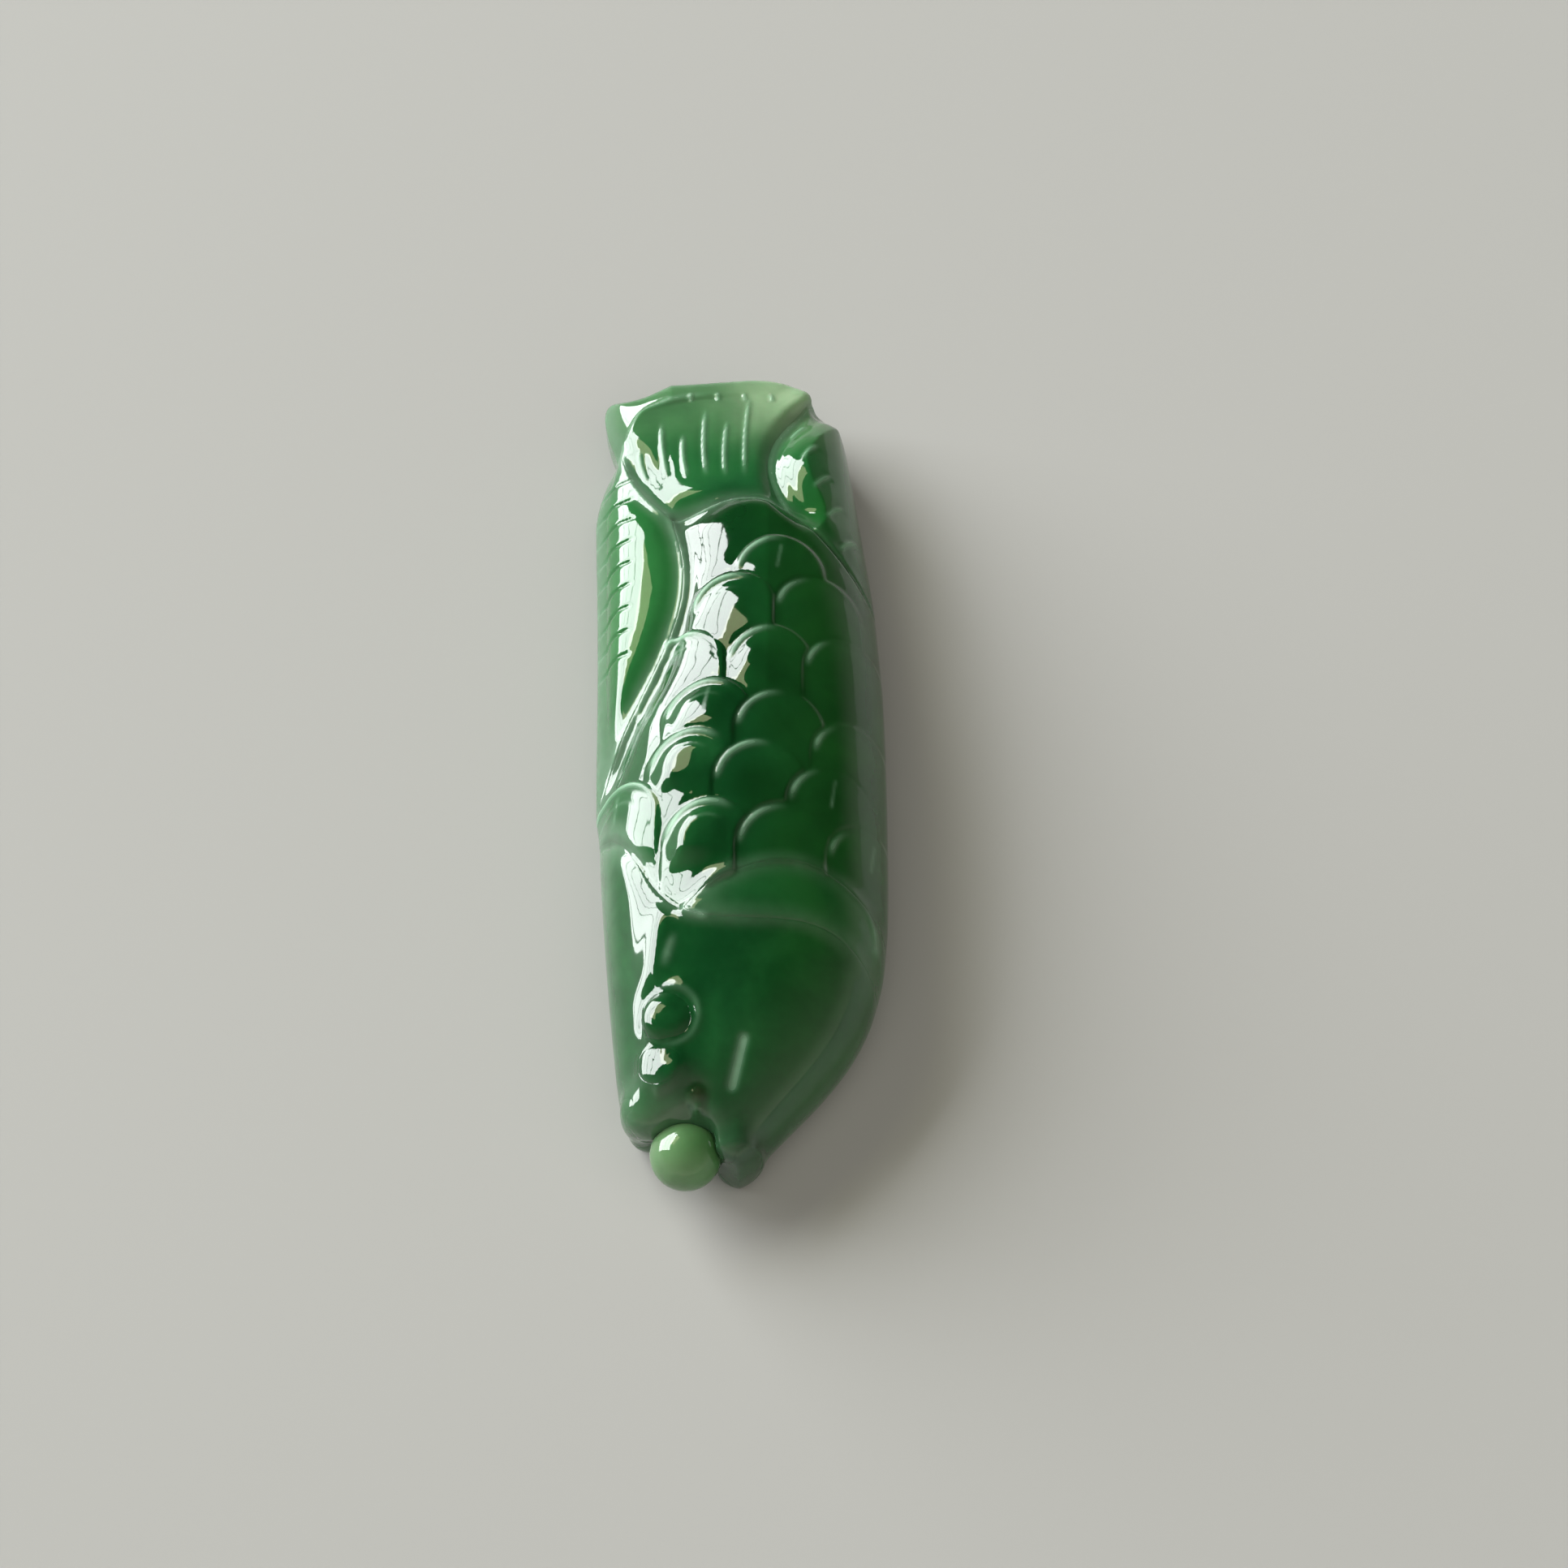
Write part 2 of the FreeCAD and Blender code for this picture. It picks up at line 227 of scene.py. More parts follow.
def near(points):
    """For every plan point: the distance to a line, how far along it the nearest point lies (0 to 1),
    and which side it is on (positive to the left of the line's direction)."""
    line = curve(points) if len(points) > 2 else np.array(points, float)
    best = np.full(X.shape, 1e9, np.float32)
    along = np.zeros(X.shape, np.float32)
    side = np.zeros(X.shape, np.float32)
    lengths = np.hypot(*np.diff(line, axis=0).T)
    total = lengths.sum()
    done = 0.0
    for (ax, ay), (bx, by), length in zip(line, line[1:], lengths):
        ux, uy = (bx - ax) / length, (by - ay) / length
        t = np.clip((X - ax) * ux + (Y - ay) * uy, 0, length)
        dx, dy = X - ax - t * ux, Y - ay - t * uy
        d = np.hypot(dx, dy)
        closer = d < best
        best = np.where(closer, d, best)
        along = np.where(closer, (done + t) / total, along)
        side = np.where(closer, ux * dy - uy * dx, side)
        done += length
    return best, along, np.sign(side)


def spot(centre, radius):
    return bell(np.hypot(X - centre[0], Y - centre[1]), 0, radius)


def stroke(points, width, ends=0.15):
    """A soft line, 1 along its middle, that fades out over the last part of each end."""
    d, t, _ = near(points)
    return bell(d, 0, width) * step(0, ends, t) * step(0, ends, 1 - t)


# ---------------------------------------------------------------- the carving, in plan
CARVED = ("body", "head", "gill_cover", "dorsal_fin", "tail_fan", "tail_lobe")
LINE_POINTS = 9  # points that shape one carved line
NOTCH = (-5.4, 15.5)
TAIL_ROOT = (-3.0, 10.75)
LOBE_ROOT = (2.0, 11.0)
LOBE_TIP = (3.2, 18.2)
LOBE_END = (6.2, 6.5)
FIN_END = (-6.3, -4.5)
GILL_ROOT = (-2.1, -8.8)
FIN_TO_FAN = bowed(NOTCH, TAIL_ROOT, -0.45)
FIN_TO_BODY = bowed(TAIL_ROOT, FIN_END, 1.5, 0.3, 2.0)
LOBE_EDGE = bowed(LOBE_TIP, LOBE_ROOT, -1.3, 0.55)
LOBE_FOOT = bowed(LOBE_ROOT, LOBE_END, 0.1)
TAIL_LINE = bowed(TAIL_ROOT, LOBE_ROOT, 0.75, 0.6)
NAPE = [(-6.6, -3.5), (-4.4, -5.4), (-3.2, -7.6), GILL_ROOT]
FAN_DISH = bowed(moved(NOTCH, 0.2, 0.3), moved(LOBE_TIP, -0.8, -0.3), 1.4, 0.3, 0.7)
SCALES = [  # centre, radius and the middle's lift
    (1.7, 7.2, 1.9, 0.0), (-0.3, 5.3, 1.8, 0.0), (3.4, 5.2, 1.9, 0.0),
    (-2.4, 2.7, 1.8, 0.0), (1.3, 2.4, 1.8, 0.1), (4.7, 2.2, 2.0, 0.0),
    (-1.3, -0.1, 1.8, 0.15), (1.7, -0.9, 1.85, 0.0), (4.9, -1.9, 1.9, 0.0),
    (-5.0, -4.2, 1.8, 0.0), (-1.9, -2.6, 1.8, 0.25), (0.9, -3.4, 1.9, 0.0), (3.9, -4.3, 1.9, 0.0),
    (-1.2, -6.0, 1.85, 0.4), (1.9, -6.3, 1.95, 0.0), (5.5, -6.5, 1.9, 0.0),
]
CORD_FIRST = 80  # degrees: where the pale cord on a scale in the middle of the stone begins; it is drawn only round each scale's window-lit side, so its pale frosting is partly a painted highlight
CORD_TURN = 11  # degrees later for each millimetre further right
CORD_LAST = 165
SPLIT_EVERY = 3  # every third scale has a fine line up its middle
PLATE_EDGE = 0.06  # mm that a scale stands out at its edge
PLATE_DOME = 0.15  # mm that its middle stands out further
CORD_RISE = 0.11  # mm, of the pale cord along a scale's free edge
CORD_INSET = 0.16  # mm from the scale's edge to the cord's middle
CORD_WIDTH = 0.15
CORD_THINNING = 0.05  # mm less on the belly's scales
SECOND_CORD_INSET = 0.85  # mm to the fine line inside the cord, on the scales beside the fin
RAY_COUNT = 6
RAY_FEET = ((-4.0, 13.0), (0.2, 12.8))
RAY_HEADS = ((-4.5, 15.0), (0.4, 17.0))
RAY_LENGTHENING = 1.2  # mm by which every second ray runs further up the fan
RAY_WIDTH = 0.1
DISH_DEPTH = 0.12
CORNER_BEVEL = 0.33  # mm that the fan's corner falls for each mm further left
VALLEY_DEPTH = 0.28
NICKS = ((-2.3, 18.2), (1.3, 18.2))  # short strokes along the fan's end
NICK_COUNT = 4
NICK_LENGTH = 0.6
LOBE_RAY_COUNT = 5
LOBE_RAY_FEET = ((2.1, 15.3), (4.3, 9.1))
LOBE_RAY_RUN = (0.8, 1.1)
LOBE_ROLL = 1.0  # mm that the lobe's rolled edge falls to the fan
LOBE_ROLL_WIDTH = 1.7
FIN_NOTCH_COUNT = 9
FIN_NOTCH_SPAN = (13.2, 3.9)
FIN_NOTCH_WIDTH = 0.07
FIN_NOTCH_DEPTH = 0.1
FIN_SINK = 0.42  # mm that the fin lies under the body
FIN_CORD_RISE = 0.1
FIN_CORD_WIDTH = 0.2
FIN_CORD_FROST = 0.45
CHEEK_STROKE = [(0.4, -13.8), (-0.2, -16.2)]
HOOK = bowed(moved(GILL_ROOT, 1.1, 0.7), moved(GILL_ROOT, 1.1, -0.5), -1.1)
LEAF = [(-2.4, -9.6), (-2.9, -11.2)]
BROW_RISE = 0.14
SEAM_WIDTH = 0.08
SEAM_DEPTH = 0.07
GILL_END = bowed((4.6, -7.2), (5.6, -10.0), 0.35)
EYE = (-2.65, -13.1)
EYE_RING = 1.2  # mm, radius of the crest round the eye
NOSTRIL = (-2.85, -14.9)
NOSTRIL_CURL = bowed(moved(NOSTRIL, 0.4, 0.0), moved(NOSTRIL, -0.4, -1.1), 0.35)
PIT = (-1.45, -16.15)  # at the corner of the mouth
OVAL = moved(PIT, 0.0, -0.5)  # the small light bump below it
GUM = ((-3.1, -16.5, 2.8), (-1.5, -16.4, 3.0))  # the roof of the mouth, over the pearl
GUM_RADIUS = 0.75


def spread(count, ends):
    return [between(ends, i / (count - 1)) for i in range(count)]


def fan_rays():
    for i, (foot, head) in enumerate(zip(spread(RAY_COUNT, RAY_FEET), spread(RAY_COUNT, RAY_HEADS))):
        yield bowed(foot, moved(head, 0.0, RAY_LENGTHENING * (i % 2)), 0.1)
    for end in spread(NICK_COUNT, NICKS):
        yield [end, moved(end, 0.1, -NICK_LENGTH)]


def lobe_rays():
    for foot in spread(LOBE_RAY_COUNT, LOBE_RAY_FEET):
        yield bowed(foot, moved(foot, *LOBE_RAY_RUN), 0.08)


class Relief:
    """Three plan maps: how far each point stands out (mm), where the wheel left a frosted line (0 to 1),
    and the painted light and shade: how much lighter or darker than its surroundings the stone is painted."""

    def __init__(self):
        self.rise = np.zeros(X.shape, np.float32)
        self.frost = np.zeros(X.shape, np.float32)
        self.light = np.zeros(X.shape, np.float32)

    def add(self, where, rise, frost=0.0):
        self.rise += where * rise
        self.frost += where * np.clip(frost, 0, 1)


def carve_scales(relief):
    """The scales, from the tail to the head, so that each overlaps the one behind it."""
    plates = np.zeros(X.shape, np.float32)
    frosted = np.zeros(X.shape, np.float32)
    painted_scale_glow = np.zeros(X.shape, np.float32)
    for cx, cy, r, lift in sorted(SCALES, key=lambda scale: -scale[1]):
        depth = r - np.where(Y > cy, np.hypot(X - cx, Y - cy), np.abs(X - cx))
        turn = np.degrees(np.arctan2(Y - cy, X - cx)) % 360
        far = step(-0.5, 3.0, cx)  # scales on the belly are cut lower
        dome = 1 - np.clip(np.hypot(X - cx - 0.3, 0.8 * (Y - cy)) / (r + 0.3), 0, 1) ** 2
        first = CORD_FIRST + CORD_TURN * cx
        lit = step(first - 20, first + 30, turn) * (1 - step(CORD_LAST - 10, CORD_LAST + 15, turn))
        plate = (1 - 0.7 * far) * (PLATE_EDGE + PLATE_DOME * dome)
        middle = step(0.1, 1.0, depth) * step(-0.7, -0.1, (Y - cy) / r)
        plate = plate + lift * np.clip((cx + 0.8 - X) / r, 0, 1.2) * middle
        cord_width = CORD_WIDTH - CORD_THINNING * far
        plate = plate + (0.012 + CORD_RISE * lit) * (1 - 0.55 * far) * bell(depth, CORD_INSET, cord_width)
        near_fin = lit * (1 - step(-2.0, 0.5, cx))
        plate = plate - 0.02 * bell(depth, SECOND_CORD_INSET, 0.06) * near_fin
        # The cord's pale frosted line is painted only round the window-lit side of each scale: real frosting,
        # partly a painted highlight.
        cord = lit * bell(depth, 0.17, CORD_WIDTH - 0.04 * far)
        cord = cord + 0.4 * bell(depth, SECOND_CORD_INSET, 0.05) * near_fin
        mask = step(-0.14, 0.08, depth) * step(-1.7, -0.7, (Y - cy) / r)
        plates = plates + (plate - plates) * mask
        frosted = frosted + (cord - frosted) * mask
        # Painted glow: each scale is painted lighter just inside its edge.
        painted_scale_glow = painted_scale_glow + (0.16 * bell(depth, 0.5, 0.7) - painted_scale_glow) * mask
    for cx, cy, r, _ in SCALES[::SPLIT_EVERY]:
        frosted = frosted + 0.5 * stroke([(cx - 0.1, cy), (cx + 0.1, cy + 0.75 * r)], 0.05, 0.1)
    relief.rise += plates * inside["body"]
    relief.frost += frosted * inside["body"]
    relief.light += painted_scale_glow * inside["body"]


def carve_flank(relief):
    """The body's left side leans over to the fin."""
    lean = -0.95 * np.clip((1.2 - X) / 4.4, 0, 1) * step(-2.0, 3.5, Y) - 0.3 * (1 - step(-4.4, -0.2, X))
    lean = lean - 0.15 * (1 - step(-3.9, -0.5, X)) * bell(Y, -7.4, 1.5)
    lean = lean - 0.3 * np.maximum(-3.7 - X, 0) * bell(Y, -0.9, 1.3)
    relief.rise += lean * around["body"]


def carve_fin(relief):
    """The fin lies lower than the body, with a cord along its inner side and notches in its outer one."""
    d, _, _ = near([*FIN_TO_FAN, *FIN_TO_BODY[1:]])
    inner = bell(d, 0.0, FIN_CORD_WIDTH) * step(-2.0, 0.5, Y)
    relief.add(inside["body"] + inside["tail_fan"], FIN_CORD_RISE * inner, FIN_CORD_FROST * inner)
    relief.rise -= FIN_SINK * step(-4.0, 2.0, Y) * around["dorsal_fin"]
    fin = FIN_CORD_RISE * inner
    fin = fin + 0.08 * bell(X, -5.05, 0.45) * (1 - step(4.5, 9.0, Y))
    edge = FIN_CORD_FROST * inner
    for y in np.linspace(*FIN_NOTCH_SPAN, FIN_NOTCH_COUNT):
        notch = stroke([(-6.6, y - 0.1), (-5.6, y), (-4.5, y + 0.1)], FIN_NOTCH_WIDTH)
        fin = fin - FIN_NOTCH_DEPTH * notch
        edge = edge + 0.35 * notch * (1 - step(-5.9, -5.4, X))
    relief.add(inside["dorsal_fin"], fin, edge)


def carve_fan(relief):
    """A dished leaf with thin rays and a bevelled corner, falling into the valley beside the fin."""
    d, _, side = near(FAN_DISH)
    outer = step(-0.25, 0.2, d * side)
    fan = -DISH_DEPTH * step(0.0, 0.3, d) * (1 - outer) * (1 - step(-3.0, 1.0, X))
    fan = fan - CORNER_BEVEL * np.maximum(-3.15 - X, 0) * outer
    edge = 0.5 * bell(d, 0.05, 0.1) * (1 - step(-2.8, -1.0, X))
    d, _, _ = near(FIN_TO_FAN)
    relief.rise -= VALLEY_DEPTH * (1 - step(0.0, 2.6, d)) * (1 - step(13.4, 15.8, Y)) * around["tail_fan"]
    for ray in fan_rays():
        fan = fan + 0.08 * stroke(ray, RAY_WIDTH, 0.25) - 0.03 * stroke(ray, 0.28, 0.25)
        edge = edge + 0.9 * stroke(ray, RAY_WIDTH, 0.25)
    relief.add(inside["tail_fan"], fan, edge)


def carve_lobe(relief):
    """The lobe rises from the fan over a rolled edge."""
    d, _, _ = near(LOBE_EDGE)
    roll = np.maximum(1 - d / LOBE_ROLL_WIDTH, 0)
    relief.rise -= LOBE_ROLL * roll * (1 - 0.6 * step(17.0, 18.4, Y)) * around["tail_lobe"]
    lobe = 0.05 * bell(d, 0.08, 0.1)
    edge = 0.6 * bell(d, 0.1, 0.12)
    for ray in lobe_rays():
        lobe = lobe + 0.06 * stroke(ray, 0.11, 0.25) - 0.04 * stroke(ray, 0.3, 0.25)
        edge = edge + 0.8 * stroke(ray, RAY_WIDTH, 0.25)
    relief.add(inside["tail_lobe"], lobe, edge)


def carve_head(relief):
    """Strokes on the cheek and behind the eye, the brow's ridge, the eye's ring, the nostril's curl and
    the pit at the mouth's corner."""
    head = -0.08 * stroke(CHEEK_STROKE, 0.2)
    edge = stroke(CHEEK_STROKE, 0.17)
    head = head + 0.04 * stroke(HOOK, 0.12) + 0.03 * stroke(LEAF, 0.2, 0.4)
    edge = edge + 0.6 * stroke(HOOK, 0.12) + 0.4 * stroke(LEAF, 0.17, 0.4)
    head = head + 0.06 * stroke(GILL_END, 0.16)
    edge = edge + 0.5 * stroke(GILL_END, 0.18)
    head = head + 0.12 * stroke(NOSTRIL_CURL, 0.26)
    ridge = bell(X + 3.2 - 0.12 * (Y + 10.0), 0.0, 0.5) * step(-12.6, -10.8, Y) * (1 - step(-9.4, -8.2, Y))
    head = head + BROW_RISE * ridge
    eye = np.hypot(X - EYE[0], Y - EYE[1])
    right_of_eye = step(-0.6, 0.6, X - EYE[0])
    head = head + 0.07 * bell(eye, EYE_RING, 0.22) * (0.3 + 0.7 * right_of_eye)
    edge = edge + 0.25 * bell(eye, EYE_RING, 0.1) * right_of_eye
    head = head - 0.1 * spot(PIT, 0.32) + 0.15 * spot(OVAL, 0.22)
    relief.add(inside["head"] + inside["gill_cover"], head, edge)


def carve_seams(relief):
    """Thin lines where the carved parts meet."""
    for line, frosting in ((TAIL_LINE, 0.6), (LOBE_FOOT, 0.0), (NAPE, 0.0)):
        seam = stroke(line, SEAM_WIDTH, 0.05)
        relief.rise -= SEAM_DEPTH * seam
        relief.frost += frosting * seam


distances = {n: node_distance(n) for n in CARVED}
fields = {n: refine(gaussian(d, ROUNDING / BLUR_VOXEL)) for n, d in distances.items()}
owner = np.stack([f.min(axis=2) for f in fields.values()]).argmin(axis=0)
outline = np.minimum.reduce([f.min(axis=2) for f in fields.values()])  # about minus the way to the edge
regions = {n: (owner == i).astype(np.float32) for i, n in enumerate(CARVED)}
inside = {n: gaussian(region, 1.2) for n, region in regions.items()}
around = {n: gaussian(region, SIDE_ROUNDING / VOXEL) for n, region in regions.items()}
relief = Relief()
for carve in (carve_scales, carve_flank, carve_fin, carve_fan, carve_lobe, carve_head, carve_seams):
    carve(relief)

# ---------------------------------------------------------------- the stone, and the pieces it is cut into
front = smooth_min(fields["head"], fields["gill_cover"], 0.8)
back = smooth_min(fields["tail_fan"], fields["tail_lobe"], 0.85 + 0.5 * step(15.5, 17.5, Y)[:, :, None])
back = smooth_min(smooth_min(back, fields["dorsal_fin"], 0.35), fields["body"], 0.6)
stone = smooth_min(front, back, 0.4 + 0.4 * step(-3.0, -1.5, X)[:, :, None])
whole = seamless(list(distances.values()))
upper = step(2.0, 3.5, Z)[None, None, :]
stone = smooth_min(stone, whole + CREASE, 0.1) * upper + whole * (1 - upper)
stone = stone - relief.rise[:, :, None] * step(1.9, 3.4, Z)[None, None, :]
stone = stone + WAVE_HEIGHT * waves(WAVE_LENGTH, WAVE_SEED) * step(0.3, 1.2, Z)[None, None, :]


def along_axis(k, values):
    """Values for axis k of the grid, shaped so that they spread over the whole grid."""
    return values.reshape([-1 if axis == k else 1 for axis in range(3)]).astype(np.float32)


def local(node):
    """The grid in units of a node's half sizes, from its centre, and its least half size in mm."""
    lo, hi = (np.array(v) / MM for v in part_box(node))
    centre, half = (lo + hi) / 2, (hi - lo) / 2
    return [along_axis(k, (AXES[k] - centre[k]) / half[k]) for k in range(3)], half.min()


def ball(node):
    (x, y, z), half = local(node)
    return (np.sqrt(x**2 + y**2 + z**2) - 1) * half


BUTTON_POWER = 2.5  # 2 is an ellipse, and more has a flatter top and a rounder shoulder
BUTTON_FLATTENED = 1.45
POINT_POWER = 1.3  # 2 is an ellipse, and less is more pointed


def button(node, spread, lift, tip):
    """A bead with a flat top and a round shoulder, tipped to the fish's back."""
    (x, y, z), half = local(node)
    sine, cosine = math.sin(tip), math.cos(tip)
    x, y, z = (x * cosine + z * sine) / spread, y / spread, (z - lift) * cosine - x * sine
    power = BUTTON_POWER
    return ((np.hypot(x, y) ** power + (np.abs(z) * BUTTON_FLATTENED) ** power) ** (1 / power) - 1) * half


def pointed(node):
    """A lip that is drawn out to a blunt point in plan."""
    (x, y, z), half = local(node)
    power = POINT_POWER
    plan = ((np.abs(x) / 0.9) ** power + (np.abs(y - 0.25) / 0.8) ** power) ** (1 / power)
    return (np.hypot(plan, z) - 1) * half


def capsule(a, b, radius):
    """A rounded bar between two points."""
    a, b = np.array(a), np.array(b)
    gap = [along_axis(k, AXES[k] - a[k]) for k in range(3)]
    along = b - a
    t = np.clip(sum(g * u for g, u in zip(gap, along)) / (along @ along), 0, 1)
    return np.sqrt(sum((g - t * u) ** 2 for g, u in zip(gap, along))) - radius


FILLETS = {"upper_lip": 0.9, "lower_lip": 1.3, "eye": 0.25, "nostril": 0.7}  # mm, at the beads' feet
TIP = 0.17  # share of its fillet by which a bead's own piece reaches down the fillet
beads = {n: ball(n) for n in ("upper_lip", "pearl")}
beads["lower_lip"] = pointed("lower_lip")
beads["eye"] = button("eye", spread=1.28, lift=0.22, tip=0.14)
beads["nostril"] = button("nostril", spread=1.75, lift=0.45, tip=0.42)
DRILL = (-1.45, -16.05)
FILLING = ((*DRILL, 2.2), (*DRILL, 4.1), 0.5)  # leaves the drilled pit shallow
stone = smooth_min(stone, capsule(*GUM, GUM_RADIUS), 0.6)
stone = smooth_min(stone, capsule(*FILLING), 0.2)
for n, fillet in FILLETS.items():
    stone = smooth_min(stone, beads[n], fillet)
stone = np.maximum(stone, -Z[None, None, :])  # the flat back
OVERLAP = 0.3  # mm that a piece runs on beneath its neighbour, so that no crack shows
DIP = 0.8  # mm that it falls there for each mm
CLEARANCE = 0.06  # mm round the pearl, which is let into the stone


def part_of_stone(cell):
    """The stone where cell is negative. Beyond that it dips under whatever is there."""
    return np.maximum(stone + DIP * np.maximum(cell, 0), cell - OVERLAP)


cells = {}
for n in CARVED:
    others = np.minimum.reduce([fields[m] for m in CARVED if m != n])
    cells[n] = (fields[n] - others) * 0.5
for n, fillet in FILLETS.items():
    tip = beads[n] - TIP * fillet
    cells["head"] = np.maximum(cells["head"], -tip)
    cells[n] = tip
PIECES = {n: part_of_stone(cell) for n, cell in cells.items()}
for n in ("head", "upper_lip", "lower_lip"):
    PIECES[n] = np.maximum(PIECES[n], -beads["pearl"] - CLEARANCE)
PIECES["pearl"] = beads["pearl"]


def mesh_of(field, name):
    points, quads = surface_of(field)
    mesh = bpy.data.meshes.new(name)
    mesh.from_pydata(((points * VOXEL + ORIGIN) * MM).tolist(), [], [tuple(q)[::-1] for q in quads])
    mesh.polygons.foreach_set("use_smooth", np.ones(len(mesh.polygons), bool))
    mesh.update()
    return mesh


# ---------------------------------------------------------------- colour, laid over the plan
# Painted glow: spots on the body painted brighter, as where light would shine through the stone; centre,
# radius and how much brighter.
PAINTED_GLOW_SPOTS = (((-1.4, -5.4), 1.0, 0.15), ((-1.3, -2.0), 0.9, 0.25), ((1.5, -2.0), 1.2, 0.15))


def plan_maps():
    """How bright a green the stone is painted, partly its own tone and partly painted glow where the window's
    light would shine through it: brightest on its left, the window side, and in the thin fin and fan.
    Then how yellow it is (olive) and how milky (pale), a painted sheen along its thin edge, the wheel's lines
    (frost) and painted shade in the drilled pit."""
    # Painted glow: the body is painted brighter towards its left, the window side, where the window's light
    # would shine through the stone.
    left = 1 - step(-5.0, 0.2, X)
    body = 0.05 + 0.5 * left * (1 - 0.3 * step(2.0, 9.0, Y)) + 0.18 * step(2.5, 6.0, X)
    # The painted glow inside the scales' edges.
    body = body + relief.light
    # Painted glow in spots on the body.
    for centre, radius, brighter in PAINTED_GLOW_SPOTS:
        body = body + brighter * spot(centre, radius)
    head = 0.31 + 0.22 * (1 - step(-5.0, -2.0, X)) + 0.14 * spot((-0.5, -13.8), 1.6) + 0.1 * step(1.0, 5.0, X)
    head = head + 0.15 * (1 - step(-17.5, -15.0, Y)) * (1 - step(-2.4, -0.8, X))
    gill = 0.42 + 0.2 * step(0.5, 5.0, X)
    fan = 0.74 - 0.35 * (1 - step(11.5, 14.0, Y)) * step(-2.5, 0.0, X)
    lobe = 0.7 - 0.3 * (1 - step(7.0, 13.0, Y))
    fin = 0.86 - 0.25 * (1 - step(-3.0, 4.0, Y)) + 0.12 * spot((-3.2, 7.0), 2.5)
    by_node = dict(body=body, head=head, gill_cover=gill, tail_fan=fan, tail_lobe=lobe, dorsal_fin=fin)
    # Each region's own tone together with its painted glow.
    tone_and_painted_glow = sum(inside[n] * by_node[n] for n in CARVED)
    olive = 0.2 + 0.8 * step(-0.5, 4.5, X) - 0.5 * step(11.0, 14.0, Y)
    pale = step(13.5, 19.0, Y) * (0.2 + 0.8 * step(-2.0, 2.6, X)) * 0.9
    snout = (1 - step(-18.0, -15.6, Y)) * (1 - step(-3.2, -1.8, X))
    pale = pale * (1 - 0.6 * inside["tail_lobe"]) + 0.1 * snout
    # Painted sheen along the thin edge: pale grey-green, as the cloth's reflection and the window's light
    # through the thin stone show, strongest on the fish's back, towards the window.
    back_side = (1 - step(-5.0, 2.0, X)) * (0.1 + 0.9 * step(-12.0, -4.0, Y))
    painted_rim_sheen = (1 - step(0.0, 0.75, -outline)) * (0.2 + 0.7 * back_side)
    # Painted shade in the drilled pit at the mouth's corner.
    pit = 0.8 * spot(PIT, 0.4)
    pale, olive, frost = (np.clip(plan, 0, 1) for plan in (pale, olive, relief.frost))
    return dict(tone_and_painted_glow=tone_and_painted_glow, olive=olive, pale=pale, painted_rim_sheen=painted_rim_sheen, frost=frost, pit=pit)


def sample(plan, points):
    """A plan map's values under points, in mm."""
    u = np.clip((points[:, 0] - ORIGIN[0]) / VOXEL, 0, SHAPE[0] - 1.001)
    v = np.clip((points[:, 1] - ORIGIN[1]) / VOXEL, 0, SHAPE[1] - 1.001)
    i, j = u.astype(int), v.astype(int)
    a, b = u - i, v - j
    near_row = plan[i, j] * (1 - a) + plan[i + 1, j] * a
    far_row = plan[i, j + 1] * (1 - a) + plan[i + 1, j + 1] * a
    return near_row * (1 - b) + far_row * b


